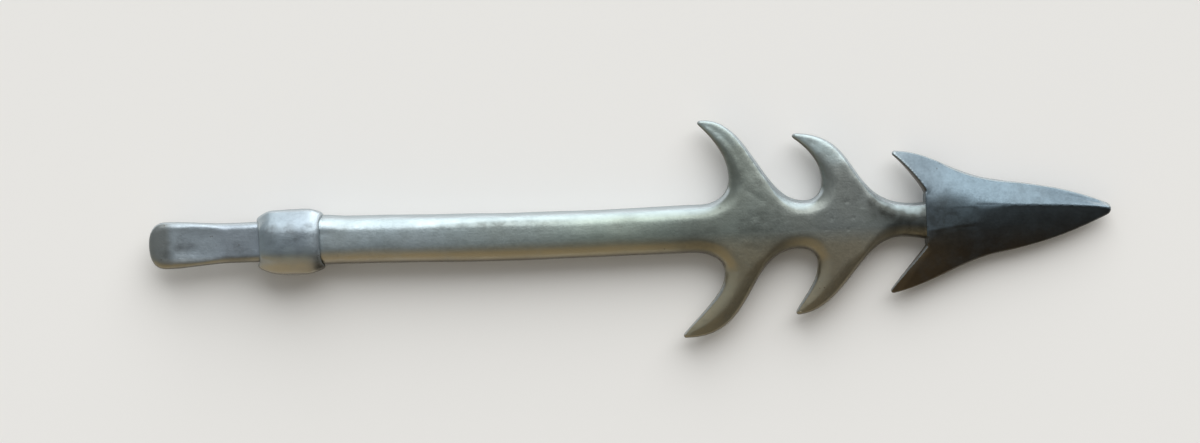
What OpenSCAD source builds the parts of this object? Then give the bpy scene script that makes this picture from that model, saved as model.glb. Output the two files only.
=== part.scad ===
// A small forged harpoon head. +X runs along it to the point, +Y lies across its broad face and +Z
// stands up from that face. The origin is the middle of the collar's rear face, where a pole seats.

/* [Collar] */
// Length of the collar along the bar
collar_len = 11; // [8:0.5:14]
// Metal of the collar round the bar
collar_wall = 1.3; // [1.1:0.05:2]
// Length of the collar's sloping front
collar_slope = 2.7; // [1.5:0.1:4]
// Width of the bevels of the collar's octagon, seen on the broad face
collar_cut = 3; // [1.5:0.1:3.2]
// How steeply those bevels face up: 45 is halfway between side and broad face
collar_bevel = 52; // [45:1:60]
// Metal left at the collar's front lip
collar_lip = 0.3; // [0.2:0.05:0.6]

/* [Bar and neck] */
// Width of the bar
bar_w = 8; // [7.6:0.1:9.2]
// Thickness of the bar
bar_t = 6.4; // [5.8:0.1:7.4]
// From the collar's front to the deepest part of the upper rear throat
bar_len = 67.7; // [50:0.5:80]
// How far the barbed part is set to one side of the collar's axis
blade_set = 0.7; // [0:0.05:1]
// Width of the rolled edge along the bar and round the throats
edge_roll = 2.2; // [1.6:0.1:2.5]
// Width of the neck at its narrowest
neck_w = 5.6; // [5:0.1:6.6]
// Thickness of the neck at the point
neck_t = 5.2; // [4.6:0.1:5.6]
// From the upper middle throat to the point's back
neck_len = 17; // [15:0.5:20]

/* [Rear barbs] */
// Reach of the upper barb from the blade's axis
rear_up_reach = 18; // [16:0.1:20]
// How far the upper tip lies behind its throat
rear_up_sweep = 4.9; // [3:0.1:7]
// Depth of the upper throat's round, across the blade
rear_up_round = 4.2; // [3:0.1:5]
// Reach of the lower barb from the blade's axis
rear_low_reach = 18.1; // [16:0.1:20]
// How far the lower tip lies behind its throat
rear_low_sweep = 7.3; // [4:0.1:8]
// Depth of the lower throat's round, across the blade
rear_low_round = 3.4; // [2.6:0.1:4.4]
// How far the lower throat lies behind the upper
rear_lag = 1.3; // [0:0.1:2]
// Thickness of the rear barbs at their tips
barb_tip_t = 2.6; // [2:0.1:3.4]

/* [Middle barbs] */
// From the upper rear throat to the upper middle throat
pair_gap = 15.4; // [14:0.1:20]
// Reach of the upper barb from the blade's axis
mid_up_reach = 15.2; // [13.6:0.1:17]
// How far the upper tip lies behind its throat
mid_up_sweep = 4.6; // [3:0.1:6]
// Depth of the upper throat's round, across the blade
mid_up_round = 3.1; // [2.2:0.1:3.6]
// Reach of the lower barb from the blade's axis
mid_low_reach = 15; // [13.6:0.1:17]
// How far the lower tip lies behind its throat
mid_low_sweep = 3.9; // [3:0.1:6]
// Depth of the lower throat's round, across the blade
mid_low_round = 2.4; // [2:0.1:3.4]
// How far the lower throat lies behind the upper
mid_lag = 1.2; // [0:0.1:2]

/* [Point] */
// Length of the point from its back to its tip
point_len = 31; // [26:0.5:38]
// Thickness of the point at its back
point_t = 5.6; // [5.6:0.1:7]
// Thickness of the point's edges
point_edge_t = 1; // [0.8:0.1:1.6]
// Thickness at the tip
nose_t = 2; // [1.4:0.1:2.6]
// Round of the tip, seen from above
nose_r = 1.1; // [0.8:0.1:1.4]
// How far the tip is bent up from the blade's axis
nose_set = 0.45; // [0:0.05:0.6]
// Width of the point's back, from notch to notch
notch_w = 8.3; // [7.6:0.1:9]
// Reach of the upper barb from the blade's axis
front_up_reach = 11.6; // [10:0.1:13]
// How far the upper tip lies behind the point's back
front_up_sweep = 5.1; // [3:0.1:7]
// Reach of the lower barb from the blade's axis
front_low_reach = 12.1; // [10:0.1:13]
// How far the lower tip lies behind the point's back
front_low_sweep = 6.2; // [3:0.1:7]
// How far the ridge is set to the upper side at the point's back
ridge_set = 2.2; // [0:0.1:2.4]
// Side of the square tenon that carries the point
tenon_side = 3; // [2.4:0.1:3.2]
// Length of the tenon
tenon_len = 8; // [5:0.5:10]

/* [Tang] */
// Length of the tang behind the collar
tang_len = 18.2; // [14:0.1:26]
// Width of the tang at the collar
tang_root_w = 6.7; // [6:0.1:7]
// Width of the tang at its flare
tang_flare_w = 7.9; // [7.2:0.1:9.5]
// Thickness of the tang at the collar
tang_t = 3.4; // [3:0.1:3.8]
// Thickness of the tang at its end
tang_end_t = 1.8; // [1.4:0.1:2.4]
// How far the tang is set to the upper side
tang_set = 0.25; // [0:0.05:0.4]
// Length of the tang's root inside the collar
tang_root_len = 9.5; // [7:0.1:9.5]
// Depth of the thumb-shaped dish
dish_depth = 0.25; // [0.15:0.05:0.6]
// Length of the dish
dish_len = 8.6; // [6:0.1:10]

/* [Fits] */
// Clearance all round the tenon, the tang's root and the bar in the collar
fit = 0.08; // [0.05:0.01:0.15]

/* [Hidden] */

// How finely curves are drawn
edge_steps = 5;
small_steps = 4;
point_rows = 3;
blade_rows = 3;
set_steps = 10;
fillet_steps = 9;
barb_steps = 12;
tip_steps = 5;
run_steps = 10;
nose_steps = 12;
end_steps = 10;
dish_facets = 96;
// How far a cut starts outside the metal, and the tenon inside it
over = 1;

// A rolled edge starts upright up to this share of the height, then leans in to a shoulder and the face
roll_side = 0.7;
roll_shoulder = [0.25, 0.78];
// Radius of each barb's tip in the broad plane, and the rolled edge there and along its front
tip_r = 0.45;
tip_roll = 0.3;
lead_roll = 0.6;
// A trailing side's rolled edge narrows evenly to its tip (1), or sooner
trail_power = 0.6;
// Share of a leading side over which its rolled edge grows to full width
lead_share = 0.33;
// How the blade thins towards its tips: 1 is a straight wedge, 2 a round crown
crown_power = 1.6;
// Where a leading side leaves its barb and joins the blade
join = 0.62;
// Rear end of the bar, just inside the collar's rear face
bar_rear = 0.3;
// The collar's ends are superellipses between a chamfer (1) and an ellipse (2)
ease_power = 1.5;
// Its rounded rear edge, into the metal and along the bar
collar_round = 0.8;
collar_round_len = 2.6;
// Length over which the bar steps aside
set_len = 35;
// Length of the throats' rounds, and how long they hold their course
rear_run = 5.2;
mid_run = 2.9;
fillet_hold = 0.6;
// Where the neck is narrowest behind the point's back, and its flare there
neck_up_back = 1.8;
neck_low_back = 4.2;
neck_up_flare = 0.5;
neck_low_flare = 0.9;
flare_angle = 35;

rear_up_angles = [135, 4, 0];
rear_up_pulls = [[0.35, 0.35], [0.5, 0.44]];
rear_low_angles = [130, 2, 0];
rear_low_pulls = [[0.3, 0.35], [0.62, 0.47]];
mid_up_angles = [143, -2, 0];
mid_up_pulls = [[0.4, 0.3], [0.6, 0.6]];
mid_low_angles = [120, -4, 0];
mid_low_pulls = [[0.35, 0.35], [0.46, 0.4]];

// The point's leading sides: their shoulder, slopes and bevels
shoulder_len = 12;
shoulder_w = 12.2;
shoulder_slope = 10;
nose_slope = 24;
nose_pulls = [0.4, 0.4];
point_bevel = 0.35;
trail_bevel = 0.5;
ridge_power = 1.6;
// The ridge starts as a soft crown and is crisp from here on
ridge_soft = 3;
crown_len = 12;
front_up_angles = [138, -4, -shoulder_slope];
front_up_pulls = [[0.12, 0.3], [0.4, 0.48]];
front_low_angles = [128, -11, -shoulder_slope];
front_low_pulls = [[0.02, 0.3], [0.38, 0.35]];

// The tang's rounded end, scarf and edges
scarf_len = 3.8;
scarf_t = 2.9;
tang_roll = 0.9;
flare_back = 3;
root_share = 0.25;
// How far its end, its flare and its sides hold their course
end_hold = 3.2;
flare_hold = 1.6;
side_hold = 4;

rear_throat = collar_len + bar_len;
mid_throat = rear_throat + pair_gap;
point_back = mid_throat + neck_len;
tip_x = point_back + point_len;
blade_reach = max(rear_up_reach, rear_low_reach);

function lerp(a, b, t) = a + (b - a) * t;
function ease(t) = let(u = min(max(t, 0), 1)) u * u * (3 - 2 * u);
function heading(angle) = [cos(angle), sin(angle)];
function reversed(list) = [for (i = [len(list) - 1 : -1 : 0]) list[i]];
function bezier(a, b, c, d, t) = let(s = 1 - t)
    a * s * s * s + b * 3 * s * s * t + c * 3 * s * t * t + d * t * t * t;

// Rolled edge at step k of n, from the middle of the side to the face: [share of its width, of the height]
function roll(k, n) = bezier([0, 0], [0, roll_side], roll_shoulder, [1, 1], k / n);

// Middle line of the bar and the blade across the broad face
function axis_y(x) = -blade_set * ease((x - collar_len) / set_len);

// One side of an outline is a list of runs and barbs in turn, each a chain of
// [x, distance from the middle line, width of the rolled edge].
// A barb goes from its throat m out along the trailing side, round the tip and back along the
// leading side towards g. Angles are directions of travel, and pulls say how far a bend holds them.
function tip_centre(m, reach, sweep) = [m[0] + tip_r - sweep, reach - tip_r];
function trailing(m, c, angle, pull, t) =
    let(p = c + tip_r * heading(angle + 90), d = norm(p - m))
    bezier(m, m + [0, pull[0] * d], p - pull[1] * d * heading(angle), p, t);
function leading(c, g, angles, pull, t) =
    let(q = c + tip_r * heading(angles[0] + 90), d = g[0] - q[0])
    bezier(q, q + pull[0] * d * heading(angles[0]), g - pull[1] * d * heading(angles[1]), g, t);

function barb(m, c, g, angles, pulls, rolls) = concat(
    [for (i = [1 : barb_steps]) let(t = i / barb_steps)
        concat(trailing(m, c, angles[0], pulls[0], t), lerp(rolls[0], tip_roll, pow(t, trail_power)))],
    [for (i = [1 : tip_steps - 1])
        concat(c + tip_r * heading(lerp(angles[0], angles[1], i / tip_steps) + 90), tip_roll)],
    [for (i = [0 : barb_steps - 1]) let(t = i / barb_steps)
        concat(leading(c, g, [angles[1], angles[2]], pulls[1], join * t),
            lerp(tip_roll, rolls[1], min(1, t / lead_share)))]);
function run_in(c, g, angles, pulls, rolls) =
    [for (i = [0 : run_steps - 1]) let(t = i / run_steps)
        concat(leading(c, g, [angles[1], angles[2]], pulls[1], lerp(join, 1, t)),
            lerp(rolls[1], rolls[2], ease(t)))];
function fillet(g, m, roll) =
    [for (i = [0 : fillet_steps]) let(t = i / fillet_steps)
        concat(bezier(g, [lerp(g[0], m[0], fillet_hold), g[1]],
            [m[0], lerp(m[1], g[1], fillet_hold)], m, t), roll)];

// One side of the blade, from the bar's rear end to the neck's front end. A barb is
// [throat, depth of its round, reach, sweep, angles, pulls].
function blade_side(rear, mid, waist_x, flare) =
    let(edge = bar_w / 2,
        start = [rear[0] - rear_run, edge],
        m1 = [rear[0], edge + rear[1]],
        c1 = tip_centre(m1, rear[2], rear[3]),
        g = [mid[0] - mid_run, edge],
        m2 = [mid[0], edge + mid[1]],
        c2 = tip_centre(m2, mid[2], mid[3]),
        waist = [waist_x, neck_w / 2],
        end = [point_back, neck_w / 2 + flare],
        rolls = [edge_roll, lead_roll, edge_roll])
    [concat([[bar_rear, edge, edge_roll]],
        [for (i = [0 : set_steps]) [collar_len + set_len * i / set_steps, edge, edge_roll]],
        fillet(start, m1, edge_roll)),
     barb(m1, c1, g, rear[4], rear[5], rolls),
     concat(run_in(c1, g, rear[4], rear[5], rolls), fillet(g, m2, edge_roll)),
     barb(m2, c2, waist, mid[4], mid[5], rolls),
     concat(run_in(c2, waist, mid[4], mid[5], rolls),
        [for (i = [0 : fillet_steps]) let(t = i / fillet_steps)
            concat(bezier(waist, lerp(waist, [end[0], waist[1]], 0.5),
                end - flare * heading(flare_angle), end, t), edge_roll)])];

// One side of the point, from the notch to the tip
function point_side(reach, sweep, angles, pulls, tip_side) =
    let(m = [point_back, notch_w / 2],
        c = tip_centre(m, reach, sweep),
        shoulder = [point_back + shoulder_len, shoulder_w / 2],
        nose = [tip_x - nose_r, tip_side * nose_set] + nose_r * heading(90 - nose_slope),
        rolls = [trail_bevel, point_bevel, point_bevel])
    [[concat(m, 0)],
     barb(m, c, shoulder, angles, pulls, rolls),
     concat(run_in(c, shoulder, angles, pulls, rolls),
        [for (i = [0 : nose_steps]) let(t = i / nose_steps, d = norm(nose - shoulder))
            concat(bezier(shoulder, shoulder + nose_pulls[0] * d * heading(-shoulder_slope),
                nose - nose_pulls[1] * d * heading(-nose_slope), nose, t), point_bevel)])];

function placed(side, sign) =
    [for (part = side) [for (p = part) [p[0], axis_y(p[0]) + sign * p[1], p[2]]]];

// Solid between two sides of an outline: flat-ended or round-ended, rolled along its whole edge and
// crowned. Both sides have the same counts. An end is [] where flat, or its own outline points.
// rows is how many strips the face has on each side of its spine, and square says how many points at
// the front end have their edge rolled straight across, to keep that end flat.
module forging(low, up, rear, front, spine, half_height, steps, rows, square = 1) {
    low_line = [for (part = low) each part];
    up_line = [for (part = up) each part];
    n = len(low_line);
    across = 2 * rows - 1;
    lens = [for (part = low) len(part)];
    starts = [for (k = 0, s = 0; k < len(low); s = s + lens[k], k = k + 1) s];

    function flat(p) = [p[0], p[1]];
    function across_in(line, j) = [line[j][0], line[j][1] + (line == up_line ? -1 : 1) * line[j][2]];
    function end_row(low_corner, up_corner) =
        let(middle = [low_corner[0], spine(low_corner[0])])
        [for (q = [1 : across]) concat(row_point(low_corner, middle, up_corner, q), 0)];
    function row_point(a, s, b, q) =
        q <= rows ? lerp(a, s, q / rows) : lerp(s, b, (q - rows) / rows);
    rear_row = len(rear) > 0 ? rear
        : end_row(across_in(low_line, 0), across_in(up_line, 0));
    front_row = len(front) > 0 ? front
        : end_row(across_in(low_line, n - 1), across_in(up_line, n - 1));

    outline = concat(low_line, front_row, reversed(up_line), reversed(rear_row));
    count = len(outline);
    function low_at(j) = j;
    function up_at(j) = 2 * n + across - 1 - j;
    function front_at(q) = n + q - 1;
    function rear_at(q) = count - q;

    inward = [for (i = [0 : count - 1])
        let(t = flat(outline[(i + 1) % count]) - flat(outline[(i + count - 1) % count]))
        len(rear) == 0 && i == low_at(0) ? [0, outline[i][2]]
        : len(rear) == 0 && i == up_at(0) ? [0, -outline[i][2]]
        : len(front) == 0 && i >= n - square && i < n ? [0, outline[i][2]]
        : len(front) == 0 && i >= n + across && i < n + across + square ? [0, -outline[i][2]]
        : outline[i][2] * [-t[1], t[0]] / norm(t)];
    function edge_point(i, r) =
        let(rolled = roll(abs(r), steps), p = flat(outline[i]) + inward[i] * rolled[0])
        [p[0], p[1], sign(r) * half_height(p[0], p[1]) * rolled[1]];
    edge_points = [for (r = [-steps : steps]) for (i = [0 : count - 1]) edge_point(i, r)];

    columns = [for (k = [0 : 2 : len(low) - 1]) for (i = [0 : lens[k] - 1]) starts[k] + i];
    last = len(columns) - 1;
    face_points = [for (side = [-1, 1]) for (j = [1 : last - 1]) for (q = [1 : across])
        let(a = flat(edge_point(low_at(columns[j]), steps)),
            b = flat(edge_point(up_at(columns[j]), steps)),
            x = max(a[0], b[0]),
            p = row_point(a, [x, spine(x)], b, q))
        [p[0], p[1], side * half_height(p[0], p[1])]];

    function ring_at(r, i) = (r + steps) * count + i % count;
    function face_at(side, q, j) =
        q == 0 ? ring_at(side * steps, low_at(columns[j]))
        : q == 2 * rows ? ring_at(side * steps, up_at(columns[j]))
        : j == 0 ? ring_at(side * steps, rear_at(q))
        : j == last ? ring_at(side * steps, front_at(q))
        : len(edge_points) + ((side + 1) / 2 * (last - 1) + j - 1) * across + q - 1;
    function turned(side, face) = side > 0 ? face : reversed(face);
    function quad(side, a, b, c, d) = [turned(side, [a, b, c]), turned(side, [a, c, d])];

    edge_faces = [for (r = [-steps : steps - 1]) for (i = [0 : count - 1])
        each quad(1, ring_at(r, i), ring_at(r + 1, i), ring_at(r + 1, i + 1), ring_at(r, i + 1))];
    blade_faces = [for (side = [-1, 1]) for (j = [0 : last - 1]) for (q = [0 : 2 * rows - 1])
        each quad(side, face_at(side, q, j), face_at(side, q + 1, j),
            face_at(side, q + 1, j + 1), face_at(side, q, j + 1))];
    barb_faces = [for (side = [-1, 1]) for (k = [1 : 2 : len(low) - 2]) for (half = [-1, 1])
        let(at = function(i) ring_at(side * steps, half < 0 ? low_at(i) : up_at(i)),
            tail = starts[k] + barb_steps - 1,
            tip = tail + tip_steps,
            front_root = starts[k + 1])
        each concat(
            [for (i = [0 : barb_steps - 1])
                each quad(-side * half, at(starts[k] - 1 + i), at(front_root - i),
                    at(front_root - i - 1), at(starts[k] + i))],
            [for (i = [tail : tip - 2]) turned(-side * half, [at(tail), at(i + 2), at(i + 1)])])];
    polyhedron(points = concat(edge_points, face_points),
        faces = concat(edge_faces, blade_faces, barb_faces), convexity = 10);
}

// Both sides of the blade and of the point
blade_low = placed(blade_side([rear_throat - rear_lag, rear_low_round, rear_low_reach,
    rear_low_sweep, rear_low_angles, rear_low_pulls], [mid_throat - mid_lag, mid_low_round,
    mid_low_reach, mid_low_sweep, mid_low_angles, mid_low_pulls],
    point_back - neck_low_back, neck_low_flare), -1);
blade_up = placed(blade_side([rear_throat, rear_up_round, rear_up_reach,
    rear_up_sweep, rear_up_angles, rear_up_pulls], [mid_throat, mid_up_round,
    mid_up_reach, mid_up_sweep, mid_up_angles, mid_up_pulls],
    point_back - neck_up_back, neck_up_flare), 1);
point_low = placed(point_side(front_low_reach, front_low_sweep, front_low_angles,
    front_low_pulls, -1), -1);
point_up = placed(point_side(front_up_reach, front_up_sweep, front_up_angles,
    front_up_pulls, 1), 1);

function blade_half(x, y) =
    let(out = min(1, abs(y - axis_y(x)) / blade_reach),
        along = ease((x - rear_throat) / (point_back - rear_throat)))
    lerp(lerp(bar_t, neck_t, along), barb_tip_t, pow(out, crown_power)) / 2;

module barbed_shank() {
    slot_t = tang_t + 2 * fit;
    slot_end = tang_root_len + fit;
    color([0.36, 0.38, 0.38]) {
        difference() {
            forging(blade_low, blade_up, [], [], function(x) axis_y(x),
                function(x, y) blade_half(x, y), edge_steps, blade_rows, fillet_steps + 1);
            // Fork for the tang's root
            translate([-over, -bar_w, -slot_t / 2]) cube([slot_end + over, 2 * bar_w, slot_t]);
        }
        // Tenon
        translate([point_back - over, -blade_set - tenon_side / 2, -tenon_side / 2])
            cube([tenon_len + over, tenon_side, tenon_side]);
    }
}

function ridge_y(x) =
    let(along = min(1, max(0, (x - point_back) / point_len)))
    -blade_set + ridge_set * sqrt(1 - along) + nose_set * along;
function point_half(x, y) =
    let(along = min(1, max(0, (x - point_back) / point_len)),
        up = y > ridge_y(x),
        reach = up ? front_up_reach : front_low_reach,
        sweep = up ? front_up_sweep : front_low_sweep,
        w = x < point_back + shoulder_len
            ? lerp(reach, shoulder_w / 2, (x - point_back + sweep) / (shoulder_len + sweep))
            : lerp(shoulder_w / 2, nose_r, (x - point_back - shoulder_len) / (point_len - shoulder_len)),
        edge_y = -blade_set + (up ? w : -w),
        out = min(1, max(0, (y - ridge_y(x)) / (edge_y - ridge_y(x)))),
        power = lerp(ridge_soft, 1, ease((x - point_back) / crown_len)),
        ridge_t = lerp(point_t, nose_t, pow(along, ridge_power)))
    lerp(ridge_t, point_edge_t, pow(out, power)) / 2;

module point() {
    nose = [tip_x - nose_r, -blade_set + nose_set];
    front = [for (q = [1 : 2 * point_rows - 1])
        concat(nose + nose_r * heading((90 - nose_slope) * (q / point_rows - 1)), point_bevel)];
    color([0.30, 0.33, 0.36]) difference() {
        forging(point_low, point_up, [], front, function(x) ridge_y(x),
            function(x, y) point_half(x, y), small_steps, point_rows);
        translate([point_back - over, -blade_set - tenon_side / 2 - fit, -tenon_side / 2 - fit])
            cube([over + tenon_len + fit, tenon_side + 2 * fit, tenon_side + 2 * fit]);
    }
}

// Cross-section of the bar, grown all round
function bar_section(grow) =
    let(quarter = [for (k = [0 : edge_steps]) let(rolled = roll(k, edge_steps))
        [bar_w / 2 + grow - edge_roll * rolled[0], (bar_t / 2 + grow) * rolled[1]]])
    concat(quarter, [for (p = reversed(quarter)) if (p[1] > 0) [-p[0], p[1]]],
        [for (p = quarter) [-p[0], -p[1]]], [for (p = reversed(quarter)) if (p[1] > 0) [p[0], -p[1]]]);

// Slab between two opposite flats of the collar's octagon, eased at both ends, seen from the side
module flats(half) {
    ends = [for (k = [0 : edge_steps]) let(a = 90 * k / edge_steps)
        [pow(sin(a), 2 / ease_power), 1 - pow(cos(a), 2 / ease_power)]];
    side = concat(
        [for (e = reversed(ends)) [collar_round_len * (1 - e[0]), half - collar_round * e[1]]],
        [for (e = ends) [collar_len - collar_slope * (1 - e[0]),
            half - (collar_wall - collar_lip) * e[1]]]);
    translate([0, 0, -bar_w]) linear_extrude(2 * bar_w)
        polygon(concat(side, [for (p = reversed(side)) [p[0], -p[1]]]));
}

module collar() {
    half_w = bar_w / 2 + fit + collar_wall;
    half_t = bar_t / 2 + fit + collar_wall;
    corner = (half_w - collar_cut) * cos(collar_bevel) + half_t * sin(collar_bevel);
    sides = [half_w, corner, half_t, corner];
    turns = [0, collar_bevel, 90, 180 - collar_bevel];
    color([0.33, 0.36, 0.38]) difference() {
        intersection_for (i = [0 : 3]) rotate([turns[i], 0, 0]) flats(sides[i]);
        translate([-over, 0, 0]) rotate([90, 0, 90]) linear_extrude(collar_len + 2 * over)
            polygon(bar_section(fit));
    }
}

function tang_side(sign) =
    let(end = [-tang_len, 0],
        flare = [-tang_len + flare_back, tang_flare_w / 2],
        root = [-tang_len * root_share, tang_root_w / 2])
    [[for (p = concat(
        [for (i = [1 : end_steps - 1])
            bezier(end, end + [0, end_hold], flare - [flare_hold, 0], flare, i / end_steps)],
        [for (i = [0 : end_steps])
            bezier(flare, flare + [side_hold, 0], root - [side_hold, 0], root, i / end_steps)],
        [[0, root[1]], [tang_root_len, root[1]]]))
        [p[0], tang_set + sign * p[1], tang_roll]]];
function tang_half(x) = let(scarf = tang_len - scarf_len)
    x > -scarf ? lerp(tang_t, scarf_t, max(0, -x) / scarf) / 2
    : lerp(scarf_t, tang_end_t, (-x - scarf) / scarf_len) / 2;

module tang() {
    dish_x = -tang_len + scarf_len + dish_len / 2;
    dish_r = (pow(dish_len / 2, 2) + pow(dish_depth, 2)) / (2 * dish_depth);
    color([0.38, 0.41, 0.42]) difference() {
        forging(tang_side(-1), tang_side(1), [[-tang_len, tang_set, tang_roll]], [],
            function(x) tang_set, function(x, y) tang_half(x), small_steps, 1);
        translate([dish_x, tang_set, tang_half(dish_x) - dish_depth + dish_r])
            sphere(dish_r, $fn = dish_facets);
    }
}

point();
barbed_shank();
collar();
tang();
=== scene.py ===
"""How the harpoon head looks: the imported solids, worked over as hand-forged, worn dark iron.

The row frame is +X to the point, +Y across the broad face to the upper barbs, +Z up. Lengths are in mm,
and each piece is shrunk to metres when it is done.
"""
import itertools
import math

import bpy
import numpy as np
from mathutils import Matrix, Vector, kdtree


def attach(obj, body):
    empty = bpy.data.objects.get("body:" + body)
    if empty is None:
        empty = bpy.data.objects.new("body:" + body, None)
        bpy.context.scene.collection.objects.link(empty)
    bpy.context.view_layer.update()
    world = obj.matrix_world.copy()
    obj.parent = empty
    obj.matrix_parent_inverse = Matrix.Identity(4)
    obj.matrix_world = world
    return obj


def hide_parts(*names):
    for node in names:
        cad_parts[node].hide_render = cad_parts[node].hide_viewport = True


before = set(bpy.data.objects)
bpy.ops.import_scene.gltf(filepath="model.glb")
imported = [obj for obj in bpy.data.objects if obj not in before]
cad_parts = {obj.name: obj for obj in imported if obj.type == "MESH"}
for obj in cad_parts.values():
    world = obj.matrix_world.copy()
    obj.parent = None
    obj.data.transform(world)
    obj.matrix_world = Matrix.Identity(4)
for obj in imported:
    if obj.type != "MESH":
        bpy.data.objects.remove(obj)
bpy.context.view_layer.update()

MM = 0.001

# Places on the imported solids
COLLAR_FRONT = 11.0
# The bar steps aside by this much, from the collar's front to here
BLADE_SET, SET_END = 0.7, 46.0
# Where the barbs begin, by x and out from the blade's axis, and by x from the rear pair to the middle one
BARBS_FROM_X, BARBS_FROM_AXIS = (64.0, 68.0), (4.5, 8.0)
REAR_TO_MIDDLE = (82.0, 91.0)
POINT_BACK, POINT_LEN = 111.1, 31.0


# Mesh work

WELD_GAP = 0.001
# Vertices this near the middle plane make the outline
RIM_BAND = 0.25
# Each round of smoothing shrinks by the first share and swells by the second, which keeps the volume
SMOOTH_SHARES = (0.5, -0.52)
EASE_SHARE = 0.5
# From no wear to full wear, by how convex the metal is, and rounds that even it out
WEAR_BEND = (0.10, 0.55)
WEAR_ROUNDS = 6
# No worn line this near the point's back, out to this far from the middle, and none on faces this level
JOINT_BARE, JOINT_HALF, LEVEL_BARE = (0.8, 1.6), 5.0, (0.90, 0.97)
# Whole numbers that scatter the cells of the noise
HASH_STEPS, HASH_SEED = np.array((374761393, 668265263, 1274126177)), 974634777
HASH_MIXES = ((13, 1274126177), (16, 2246822519))
HASH_LAST_SHIFT = 15
LOW_32_BITS, LOW_24_BITS = 0xFFFFFFFF, 0xFFFFFF


def vertex_rows(mesh, name):
    """One row of three numbers for each vertex: its place ("co") or its normal ("normal")."""
    values = np.empty(len(mesh.vertices) * 3, np.float32)
    mesh.vertices.foreach_get(name, values)
    return values.reshape(-1, 3).astype(np.float64)


def set_places(mesh, co):
    """Moves the mesh's vertices to co."""
    mesh.vertices.foreach_set("co", co.astype(np.float32).ravel())
    mesh.update()


def edge_pairs(mesh):
    """The two vertices of each edge."""
    pairs = np.empty(len(mesh.edges) * 2, np.int32)
    mesh.edges.foreach_get("vertices", pairs)
    return pairs.reshape(-1, 2)


def averaged(values, pairs):
    """Mean of each vertex's neighbours."""
    count = len(values)
    a, b = pairs[:, 0], pairs[:, 1]
    degree = np.bincount(a, minlength=count) + np.bincount(b, minlength=count)
    total = np.stack([
        np.bincount(a, weights=column[b], minlength=count)
        + np.bincount(b, weights=column[a], minlength=count)
        for column in values.T], axis=1)
    return total / np.maximum(degree, 1)[:, None]


def drawn_in(co, pairs, share):
    """Each vertex moved by a share of its way to the mean of its neighbours."""
    return co + share * (averaged(co, pairs) - co)


def smoothed(co, pairs, rounds):
    """Smoothing that keeps the volume."""
    for _ in range(rounds):
        for share in SMOOTH_SHARES:
            co = drawn_in(co, pairs, share)
    return co


def eased(co, pairs, rounds, soft):
    """Plain smoothing where soft is 1, none where it is 0."""
    for _ in range(rounds):
        co = drawn_in(co, pairs, EASE_SHARE * soft[:, None])
    return co


def smoothstep(low, high, x):
    """0 up to low and 1 from high on, with a soft rise between them."""
    t = np.clip((x - low) / (high - low), 0, 1)
    return t * t * (3 - 2 * t)


def cell_hash(cells, seed):
    """A scattered number from 0 to 1 for each cell, the same on each run."""
    h = (cells @ HASH_STEPS + seed * HASH_SEED) & LOW_32_BITS
    for shift, factor in HASH_MIXES:
        h = ((h ^ (h >> shift)) * factor) & LOW_32_BITS
    return ((h ^ (h >> HASH_LAST_SHIFT)) & LOW_24_BITS) / float(LOW_24_BITS)


def value_noise(p, size, seed):
    """Smooth noise from 0 to 1 with lumps about size across."""
    q = p / np.asarray(size, float)
    cell = np.floor(q).astype(np.int64)
    t = q - cell
    t = t * t * t * (t * (t * 6 - 15) + 10)
    total = 0.0
    for corner in itertools.product((0, 1), repeat=3):
        share = np.where(corner, t, 1 - t).prod(axis=1)
        total = total + share * cell_hash(cell + np.array(corner), seed)
    return total


def off_axis(co):
    """How far each vertex lies from the blade's axis, across the broad face."""
    return np.abs(co[:, 1] + BLADE_SET)


def rim_distance(co):
    """How far each vertex lies inside the outline, seen on the broad face."""
    rim = co[np.abs(co[:, 2]) < RIM_BAND]
    tree = kdtree.KDTree(len(rim))
    for i, p in enumerate(rim):
        tree.insert((p[0], p[1], 0), i)
    tree.balance()
    return np.array([tree.find((p[0], p[1], 0))[2] for p in co])


def remeshed(node, voxel):
    """The solid of a CAD node in mm, as a mesh of even cells."""
    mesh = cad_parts[node].data.copy()
    mesh.materials.clear()
    raw = bpy.data.objects.new("raw_" + node, mesh)
    bpy.context.scene.collection.objects.link(raw)
    set_places(mesh, vertex_rows(mesh, "co") / MM)
    weld = raw.modifiers.new("weld", "WELD")
    weld.merge_threshold = WELD_GAP
    remesh = raw.modifiers.new("remesh", "REMESH")
    remesh.mode = "VOXEL"
    remesh.voxel_size = voxel
    depsgraph = bpy.context.evaluated_depsgraph_get()
    made = bpy.data.meshes.new_from_object(raw.evaluated_get(depsgraph))
    bpy.data.objects.remove(raw)
    return made


def store_wear(mesh, co, pairs, voxel):
    """Keeps how convex the metal is at each vertex, from 0 to 1, for the material's worn arrises."""
    normals = vertex_rows(mesh, "normal")
    bend = ((co - averaged(co, pairs)) * normals).sum(axis=1, keepdims=True) / voxel ** 2
    for _ in range(WEAR_ROUNDS):
        bend = drawn_in(bend, pairs, EASE_SHARE)
    off_joint = smoothstep(*JOINT_BARE, np.abs(co[:, 0] - POINT_BACK))
    off_joint = np.maximum(off_joint, np.abs(co[:, 1]) > JOINT_HALF)
    off_face = 1 - smoothstep(*LEVEL_BARE, np.abs(normals[:, 2]))
    worn = smoothstep(*WEAR_BEND, bend[:, 0]) * (off_joint * off_face)
    attribute = mesh.attributes.new("wear", "FLOAT", "POINT")
    attribute.data.foreach_set("value", worn.astype(np.float32))


def unchanged(co):
    """The shape of a piece that stays as its relief leaves it."""
    return co


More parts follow.
